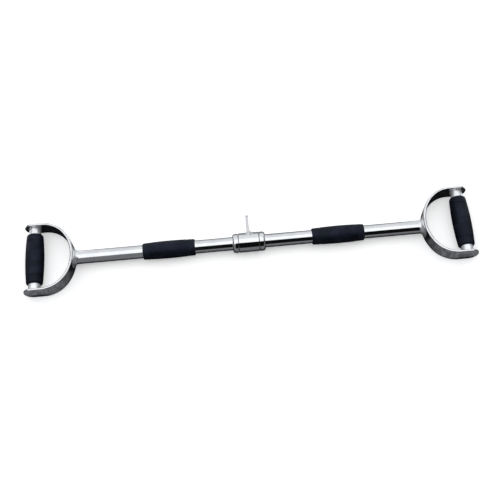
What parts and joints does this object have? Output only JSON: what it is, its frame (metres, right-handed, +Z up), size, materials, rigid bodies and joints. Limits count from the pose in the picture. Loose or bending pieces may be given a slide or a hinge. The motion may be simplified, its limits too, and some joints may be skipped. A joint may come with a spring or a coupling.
{
  "type": "lat pulldown bar",
  "caption": "Straight chromed cable bar with a flat-strap D handle at each end, rubber grips and a revolving sleeve whose tab has an eye for the cable's hook",
  "frame": {"origin": "midway between the two handles, in the plane they lie in. The tube's axis is parallel to X and 3 mm from it, at y = -0.003 m", "axes": "+X along the bar, +Z up, square to the plane the two handles lie in. The hanger's tab points to +Y at rest"},
  "size_m": [0.965, 0.155, 0.042],
  "materials": {
    "chrome": "polished chrome plate",
    "rubber": "matte moulded rubber",
    "bushing": "black acetal, machined",
    "screw_steel": "blackened steel"
  },
  "bodies": {
    "bar": {"main_tube": "chrome", "left_handle_strap": "chrome", "left_strap_weld": "chrome", "left_handle_rod": "chrome", "left_rod_welds": "chrome", "left_handle_grip": "rubber", "left_bar_grip": "rubber", "left_collar": "chrome", "left_collar_screw": "screw_steel", "right_handle_strap": "chrome", "right_strap_weld": "chrome", "right_handle_rod": "chrome", "right_rod_welds": "chrome", "right_handle_grip": "rubber", "right_bar_grip": "rubber", "right_collar": "chrome", "right_collar_screw": "screw_steel"},
    "hanger": {"hanger_sleeve": "chrome", "hanger_tab": "chrome", "left_tab_weld": "chrome", "left_bushing": "bushing", "right_tab_weld": "chrome", "right_bushing": "bushing"}
  },
  "joints": [
    {"name": "hanger_spin", "type": "hinge", "parent": "bar", "child": "hanger", "pos_m": [0, -0.003, 0], "axis": [1, 0, 0], "continuous": true}
  ]
}
